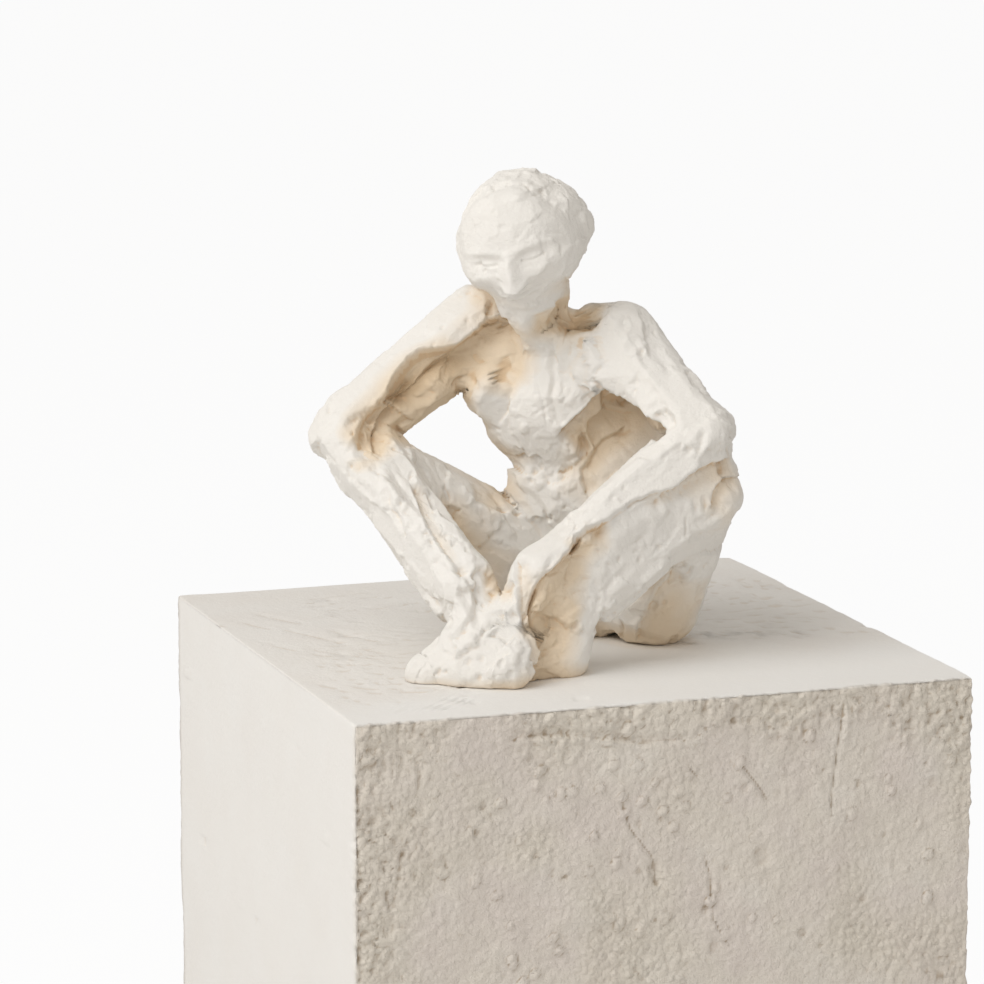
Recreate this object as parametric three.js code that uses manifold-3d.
// A crouching plaster figure on a square plaster block. Millimetres, +Z up.
// The origin is the middle of the underside of the felt pads, and -Y is the block's front.
//
// The figure is built up in members: a head, a torso, and two arms and two legs. Each member is luted to
// the next at a thin seam and held there by a steel pin, and the feet and the seat stand on dowels in the
// block. The plaster is laid as tapered rolls and oval pads over the pose's landmarks, with a fillet
// wherever two of them meet.
import * as THREE from "three";
import { mergeVertices } from "three/addons/utils/BufferGeometryUtils.js";
import Module from "manifold-3d";

// The block and its pads
const blockSide = 130;
const blockHeight = 128;
const blockCorner = 2.4;
const blockBevel = 1.2;
const padRadius = 9;
const padThickness = 2;
const padInset = 15;

// Where the figure sits on the block's top, and how far it is turned from the block's front, in degrees
const seatX = 6;
const seatY = 0;
const seatTurn = -30;

// The pose's landmarks, from the seat: +x to the figure's left, -y to its front, z up from the block's top
const pelvis = [1, 2, 12];
const belly = [-2, -1, 31];
const chest = [-6.2, -3, 49];
const back = [2, 4, 38];
const neckBase = [-8, -4.5, 62];
const skull = [-11.2, -13, 85.4];
const jaw = [-11, -17.5, 80.5];
const headLean = [22, -12, 0];
const shoulder = { right: [-22, -4, 63.8], left: [8.2, -6.3, 62] };
const elbow = { right: [-46.4, -19.5, 43.9], left: [26.9, -18.6, 44.2] };
const wrist = { right: [-17.2, -43, 18.3], left: [-1.5, -44, 20.5] };
const knuckles = { right: [-12.5, -47, 9], left: [-6, -47, 9] };
const hip = { right: [-10.5, 2.5, 12], left: [14.5, -5.5, 9] };
const knee = { right: [-39.5, -21, 36.2], left: [26.2, -17.5, 33] };
const ankle = { right: [-14, -43, 9], left: [0.7, -39.8, 9] };
const heel = { right: [-11, -42, 4], left: [1, -39, 4] };
const toes = { right: [-23.5, -50.8, 1], left: [-7, -52.2, 3.4] };

// Half thicknesses of the plaster at the landmarks
const pelvisGirth = [17, 13, 14];
const bellyGirth = [15, 10, 16];
const chestGirth = [16, 10.5, 14];
const backGirth = [18, 11, 21];
const skullGirth = [13.2, 14, 13.8];
const jawGirth = [11.2, 9, 8.2];
const neckGirth = 6.3;
const yokeGirth = 6.8;
const shoulderGirth = { right: 8.4, left: 7.2 };
const elbowGirth = { right: 6.7, left: 6.6 };
const wristGirth = 4.8;
const handGirth = 5.4;
const hipGirth = { right: 11, left: 10.2 };
const kneeGirth = { right: 7, left: 7.6 };
const ankleGirth = 5.6;
const heelGirth = 5.6;
const toeGirth = { right: 3.6, left: 5 };

// Plaster that fills in between members: under each forearm, from the knee to the ankle, in the right
// armpit, and between the feet
const underarmGirth = { right: [5.5, 4.4], left: [6, 4.6] };
const armpitFill = { centre: [-19.5, -8.5, 53.5], girth: [4.6, 5, 7.6] };
const feetFill = { centre: [-13.5, -48.5, 3], girth: [9, 8, 8] };

// How the plaster is worked: its fillets, its facets and the seams. The two least values keep the facets
// from shrinking to nothing and the seams from opening where two cores run side by side.
const fillet = 3;
const facet = 4.1;
const seamGap = 0.3;
const seamInset = 5;
const leastShare = 0.04;
const leastSlope = 0.1;

// Steel pins and dowels
const pinRadius = 1.2;
const pinReach = 7;
const pinFit = 0.15;
const dowelRadius = 1.5;
const dowelInBlock = 14;
const dowelInFigure = 5;
const dowelShare = 0.8;
const roundSides = 10;

const blockTop = padThickness + blockHeight;
const sides = ["right", "left"];

const plaster = new THREE.MeshStandardMaterial({ color: 0xeae4dc, roughness: 0.9, flatShading: true });
const castPlaster = new THREE.MeshStandardMaterial({ color: 0xe2dcd2, roughness: 0.92, flatShading: true });
const steel = new THREE.MeshStandardMaterial({ color: 0xa9abae, roughness: 0.4, metalness: 1 });
const felt = new THREE.MeshStandardMaterial({ color: 0x8a857c, roughness: 1 });

const wasm = await Module();
wasm.setup();

const vec = (p) => new THREE.Vector3(...p);
const between = (a, b, share) => vec(a).lerp(vec(b), share).toArray();
const along = (from, to, distance) => between(from, to, distance / vec(from).distanceTo(vec(to)));

// A tapered roll of plaster with round ends, as a signed distance that is negative inside
function roll(a, radiusA, b, radiusB) {
  const start = vec(a);
  const axis = vec(b).sub(start);
  const length = axis.length();
  axis.divideScalar(length);
  const slope = (radiusA - radiusB) / length;
  const cosine = Math.sqrt(Math.max(0, 1 - slope * slope));
  const fromStart = new THREE.Vector3();
  return (p) => {
    fromStart.subVectors(p, start);
    const down = fromStart.dot(axis);
    const across = Math.sqrt(Math.max(0, fromStart.lengthSq() - down * down));
    const foot = down + (across * slope) / cosine;
    if (foot <= 0) return Math.hypot(down, across) - radiusA;
    if (foot >= length) return Math.hypot(down - length, across) - radiusB;
    return across * cosine + down * slope - radiusA;
  };
}

// An oval pad of plaster with its own half thicknesses, leaning by the angles given in degrees
function pad(centre, girth, lean = [0, 0, 0]) {
  const heart = vec(centre);
  const upright = new THREE.Quaternion()
    .setFromEuler(new THREE.Euler(...lean.map(THREE.MathUtils.degToRad)))
    .invert();
  const q = new THREE.Vector3();
  return (p) => {
    q.subVectors(p, heart).applyQuaternion(upright);
    const share = Math.hypot(q.x / girth[0], q.y / girth[1], q.z / girth[2]);
    const steepness = Math.hypot(q.x / girth[0] ** 2, q.y / girth[1] ** 2, q.z / girth[2] ** 2);
    return share < 0.01 ? -Math.min(...girth) : (share * (share - 1)) / steepness;
  };
}

// The distance to the nearest of several shapes, with a fillet where two of them meet
function joined(shapes, radius) {
  return (p) => {
    let nearest = shapes[0](p);
    for (let i = 1; i < shapes.length; i++) {
      const other = shapes[i](p);
      const overlap = radius > 0 ? Math.max(radius - Math.abs(nearest - other), 0) / radius : 0;
      nearest = Math.min(nearest, other) - (overlap * overlap * radius) / 4;
    }
    return nearest;
  };
}

// A limb from one joint to the next. Its core stops short of both joints, so that its seams fall
// square across them.
function limb(from, fromGirth, to, toGirth) {
  return {
    shapes: [roll(from, fromGirth, to, toGirth)],
    core: roll(along(from, to, seamInset), fromGirth, along(to, from, seamInset), toGirth),
  };
}

const neckTop = between(neckBase, jaw, 0.5);
const skullPad = pad(skull, skullGirth, headLean);
const jawPad = pad(jaw, jawGirth, headLean);
const trunk = [
  pad(pelvis, pelvisGirth),
  pad(belly, bellyGirth),
  pad(chest, chestGirth),
  pad(back, backGirth),
  roll(neckBase, neckGirth, neckTop, neckGirth),
];
const members = {
  head: {
    shapes: [skullPad, jawPad, roll(neckTop, neckGirth, jaw, neckGirth)],
    core: joined([skullPad, jawPad], 0),
  },
  torso: {
    shapes: [
      ...trunk,
      roll(shoulder.right, yokeGirth, shoulder.left, yokeGirth),
      pad(armpitFill.centre, armpitFill.girth),
    ],
    core: joined(trunk, 0),
  },
};
for (const side of sides) {
  members[`${side}_upper_arm`] = limb(shoulder[side], shoulderGirth[side], elbow[side], elbowGirth[side]);
  const forearm = limb(elbow[side], elbowGirth[side], wrist[side], wristGirth);
  const hand = roll(wrist[side], wristGirth, knuckles[side], handGirth);
  members[`${side}_forearm_and_hand`] = {
    shapes: [...forearm.shapes, hand],
    core: joined([forearm.core, hand], 0),
  };
  members[`${side}_thigh`] = limb(hip[side], hipGirth[side], knee[side], kneeGirth[side]);
  const shin = limb(knee[side], kneeGirth[side], ankle[side], ankleGirth);
  const [upper, lower] = underarmGirth[side];
  const filling = roll(
    between(elbow[side], knee[side], 0.5), upper, between(wrist[side], ankle[side], 0.5), lower);
  members[`${side}_shin`] = { shapes: [...shin.shapes, filling], core: shin.core };
  const sole = roll(heel[side], heelGirth, toes[side], toeGirth[side]);
  const fill = side === "right" ? [pad(feetFill.centre, feetFill.girth)] : [];
  members[`${side}_foot`] = {
    shapes: [roll(ankle[side], ankleGirth, heel[side], heelGirth), sole, ...fill],
    core: sole,
  };
}

// The grid that the plaster's fields are sampled on, with room around the thickest member
const pairs = [shoulder, elbow, wrist, knuckles, hip, knee, ankle, heel, toes];
const landmarks = [pelvis, belly, chest, back, neckBase, skull, jaw, ...pairs.flatMap(Object.values)];
const pads = [pelvisGirth, bellyGirth, chestGirth, backGirth, skullGirth, jawGirth];
const thickest = Math.max(...pads.flat(), ...Object.values(hipGirth));
const region = new THREE.Box3().setFromPoints(landmarks.map(vec)).expandByScalar(thickest + 2 * facet);
region.min.z = -2.5 * facet;
const count = region.getSize(new THREE.Vector3()).divideScalar(facet).ceil().addScalar(1).toArray();
const stride = [1, count[0], count[0] * count[1]];
const nodeTotal = count[0] * count[1] * count[2];
const nodePlace = (n) => [n % count[0], Math.floor(n / stride[1]) % count[1], Math.floor(n / stride[2])];
const onBorder = (place) => place.some((step, axis) => step === 0 || step >= count[axis] - 2);
const nodePoint = (place) => vec(place).multiplyScalar(facet).add(region.min);

function sampled(field) {
  return Float64Array.from({ length: nodeTotal }, (_, n) => field(nodePoint(nodePlace(n))));
}

// Whether the cube's corners named by the bits are joined to each other along the cube's edges
function connected(corners) {
  let seen = corners & -corners;
  for (let pass = 0; pass < 8; pass++) {
    for (let corner = 0; corner < 8; corner++) {
      if (!((seen >> corner) & 1)) continue;
      for (const bit of [1, 2, 4]) seen |= corners & (1 << (corner ^ bit));
    }
  }
  return seen === corners;
}
const holdsOneSheet = Array.from({ length: 256 }, (_, inside) =>
  connected(inside) && connected(255 ^ inside));
const cellCorners = Array.from({ length: 8 }, (_, corner) =>
  stride.reduce((sum, step, axis) => sum + step * ((corner >> axis) & 1), 0));

// The closed skin round the places where the sampled field is negative. Each cell that the skin crosses
// gets one vertex, and a cell that the skin would cross twice first loses its shallowest inside corner.
// Values near zero are moved off it, so that no two vertices coincide.
function skin(samples) {
  const least = leastShare * facet;
  const values = samples.map((value, n) => {
    if (onBorder(nodePlace(n))) return facet;
    return Math.abs(value) < least ? Math.sign(value || 1) * least : value;
  });
  const cells = [];
  for (let n = 0; n < nodeTotal; n++) {
    if (nodePlace(n).every((step, axis) => step < count[axis] - 1)) cells.push(n);
  }
  const insideBits = (cell) =>
    cellCorners.reduce((bits, offset, corner) => bits | ((values[cell + offset] < 0) << corner), 0);
  for (let changed = true; changed;) {
    changed = false;
    for (const cell of cells) {
      if (holdsOneSheet[insideBits(cell)]) continue;
      const inside = cellCorners.map((offset) => cell + offset).filter((n) => values[n] < 0);
      const shallowest = inside.reduce((a, b) => (values[a] > values[b] ? a : b));
      values[shallowest] = least;
      changed = true;
    }
  }
  const positions = [];
  const vertexOf = new Map();
  for (const cell of cells) {
    const bits = insideBits(cell);
    if (bits === 0 || bits === 255) continue;
    const sum = new THREE.Vector3();
    let crossings = 0;
    for (let corner = 0; corner < 8; corner++) {
      for (const bit of [1, 2, 4]) {
        if (corner & bit || ((bits >> corner) & 1) === ((bits >> (corner | bit)) & 1)) continue;
        const [here, there] = [cell + cellCorners[corner], cell + cellCorners[corner | bit]];
        const share = values[here] / (values[here] - values[there]);
        sum.add(nodePoint(nodePlace(here)).lerp(nodePoint(nodePlace(there)), share));
        crossings++;
      }
    }
    vertexOf.set(cell, positions.length / 3);
    positions.push(...sum.divideScalar(crossings).toArray());
  }
  const faces = [];
  const point = (index) => vec(positions.slice(3 * index, 3 * index + 3));
  for (const cell of cells) {
    for (let axis = 0; axis < 3; axis++) {
      const next = cell + stride[axis];
      if (values[cell] < 0 === values[next] < 0) continue;
      const [b, c] = [stride[(axis + 1) % 3], stride[(axis + 2) % 3]];
      const ring = [cell, cell - b, cell - b - c, cell - c].map((key) => vertexOf.get(key));
      if (values[cell] > 0) ring.reverse();
      const [p, q, r, s] = ring;
      const short = point(p).distanceTo(point(r)) < point(q).distanceTo(point(s));
      faces.push(...(short ? [p, q, r, p, r, s] : [p, q, s, q, r, s]));
    }
  }
  return new wasm.Manifold(new wasm.Mesh({
    numProp: 3, vertProperties: new Float32Array(positions), triVerts: new Uint32Array(faces),
  }));
}

function solidOf(geometry) {
  const bare = geometry.clone();
  bare.deleteAttribute("normal");
  bare.deleteAttribute("uv");
  const welded = mergeVertices(bare);
  return new wasm.Manifold(new wasm.Mesh({
    numProp: 3,
    vertProperties: new Float32Array(welded.attributes.position.array),
    triVerts: new Uint32Array(welded.index.array),
  }));
}

function geometryOf(solid) {
  const { vertProperties, triVerts } = solid.getMesh();
  const geometry = new THREE.BufferGeometry();
  geometry.setAttribute("position", new THREE.BufferAttribute(vertProperties, 3));
  geometry.setIndex(new THREE.BufferAttribute(triVerts, 1));
  geometry.computeVertexNormals();
  return geometry;
}

const largest = (solid) => solid.decompose().reduce((a, b) => (a.volume() > b.volume() ? a : b));

function rod(from, to, radius) {
  const length = vec(from).distanceTo(vec(to));
  const turn = new THREE.Quaternion().setFromUnitVectors(
    new THREE.Vector3(0, 1, 0), vec(to).sub(vec(from)).divideScalar(length));
  return new THREE.CylinderGeometry(radius, radius, length, roundSides)
    .applyQuaternion(turn)
    .translate(...between(from, to, 0.5));
}

// The hole that a pin fits, a little wider and longer than the pin
function boreFor({ from, to, radius }) {
  return solidOf(rod(along(from, to, -pinFit), along(to, from, -pinFit), radius + pinFit));
}

// A pin across a joint, from the middle line of one member to that of the next
const pinAcross = (joint, one, other) => ({
  from: along(joint, one, pinReach),
  to: along(joint, other, pinReach),
  radius: pinRadius,
});
const dowelAt = ([x, y]) => ({
  from: [x, y, -dowelInBlock],
  to: [x, y, dowelInFigure],
  radius: dowelRadius,
});

const pins = { neck_pin: pinAcross(neckTop, neckBase, jaw) };
const dowels = { seat_dowel: dowelAt(pelvis) };
for (const side of sides) {
  pins[`${side}_shoulder_pin`] = pinAcross(shoulder[side], neckBase, elbow[side]);
  pins[`${side}_elbow_pin`] = pinAcross(elbow[side], shoulder[side], wrist[side]);
  pins[`${side}_hip_pin`] = pinAcross(hip[side], pelvis, knee[side]);
  pins[`${side}_knee_pin`] = pinAcross(knee[side], hip[side], ankle[side]);
  pins[`${side}_ankle_pin`] = pinAcross(ankle[side], knee[side], toes[side]);
  dowels[`${side}_foot_dowel`] = dowelAt(between(heel[side], toes[side], dowelShare));
}

// The whole figure's plaster, cut flat where it sits on the block
const everyShape = Object.values(members).flatMap((member) => member.shapes);
const room = 2 * region.getSize(new THREE.Vector3()).length();
const aboveBlock = new THREE.BoxGeometry(room, room, room).translate(0, 0, room / 2 + seamGap);
const figurePlaster = skin(sampled(joined(everyShape, fillet))).intersect(solidOf(aboveBlock));

// Each member owns the places that lie nearer to its core than to any other. The seam runs half its
// width inside the border of that territory, measured square to the border, and what two coarse borders
// still share at a corner goes to the member named first.
const names = Object.keys(members);
const cores = names.map((name) => sampled(members[name].core));
const borderDistance = (own, other, n) => {
  const difference = (m) => own[m] - other[m];
  const rise = (step) => (difference(n + step) - difference(n - step)) / (2 * facet);
  const slope = Math.hypot(...stride.map(rise));
  return difference(n) / Math.max(slope, leastSlope);
};
const territories = cores.map((own) => skin(own.map((_, n) => {
  if (onBorder(nodePlace(n))) return facet;
  const borders = cores.filter((other) => other !== own).map((other) => borderDistance(own, other, n));
  return Math.max(...borders) + seamGap / 2;
})));
const bores = Object.values({ ...pins, ...dowels }).map(boreFor);
const solids = Object.fromEntries(names.map((name, i) => {
  const taken = [...territories.slice(0, i), ...bores];
  const own = figurePlaster.intersect(territories[i]);
  return [name, largest(taken.reduce((solid, tool) => solid.subtract(tool), own))];
}));

const figure = new THREE.Group();
figure.rotation.z = THREE.MathUtils.degToRad(seatTurn);
figure.position.set(seatX, seatY, blockTop);
figure.updateMatrixWorld();

function addMesh(group, name, geometry, material) {
  const mesh = new THREE.Mesh(geometry, material);
  mesh.name = name;
  group.add(mesh);
  return mesh;
}

for (const [name, solid] of Object.entries(solids)) addMesh(figure, name, geometryOf(solid), plaster);
for (const [name, { from, to, radius }] of Object.entries({ ...pins, ...dowels })) {
  addMesh(figure, name, rod(from, to, radius), steel);
}

// The block, a square cast with small corners and bevels, bored for the dowels
function blockGeometry() {
  const half = blockSide / 2;
  const straight = half - blockCorner;
  const outline = new THREE.Shape();
  outline.absarc(straight, straight, blockCorner, 0, Math.PI / 2);
  outline.absarc(-straight, straight, blockCorner, Math.PI / 2, Math.PI);
  outline.absarc(-straight, -straight, blockCorner, Math.PI, 1.5 * Math.PI);
  outline.absarc(straight, -straight, blockCorner, 1.5 * Math.PI, 2 * Math.PI);
  const cast = new THREE.ExtrudeGeometry(outline, {
    depth: blockHeight - 2 * blockBevel,
    bevelThickness: blockBevel,
    bevelSize: blockBevel,
    bevelOffset: -blockBevel,
    bevelSegments: 1,
    curveSegments: 3,
  }).translate(0, 0, blockBevel + padThickness);
  let block = solidOf(cast);
  for (const dowel of Object.values(dowels)) {
    const bore = geometryOf(boreFor(dowel)).applyMatrix4(figure.matrixWorld);
    block = block.subtract(solidOf(bore));
  }
  return geometryOf(block);
}

const object = new THREE.Group();
object.add(figure);
addMesh(object, "plaster_block", blockGeometry(), castPlaster);
const padPlace = blockSide / 2 - padInset;
for (const [ends, y] of [["front", -padPlace], ["back", padPlace]]) {
  for (const [side, x] of [["left", -padPlace], ["right", padPlace]]) {
    const disc = new THREE.CylinderGeometry(padRadius, padRadius, padThickness, 2 * roundSides);
    addMesh(object, `felt_pad_${ends}_${side}`, disc.rotateX(Math.PI / 2), felt)
      .position.set(x, y, padThickness / 2);
  }
}

export default object;
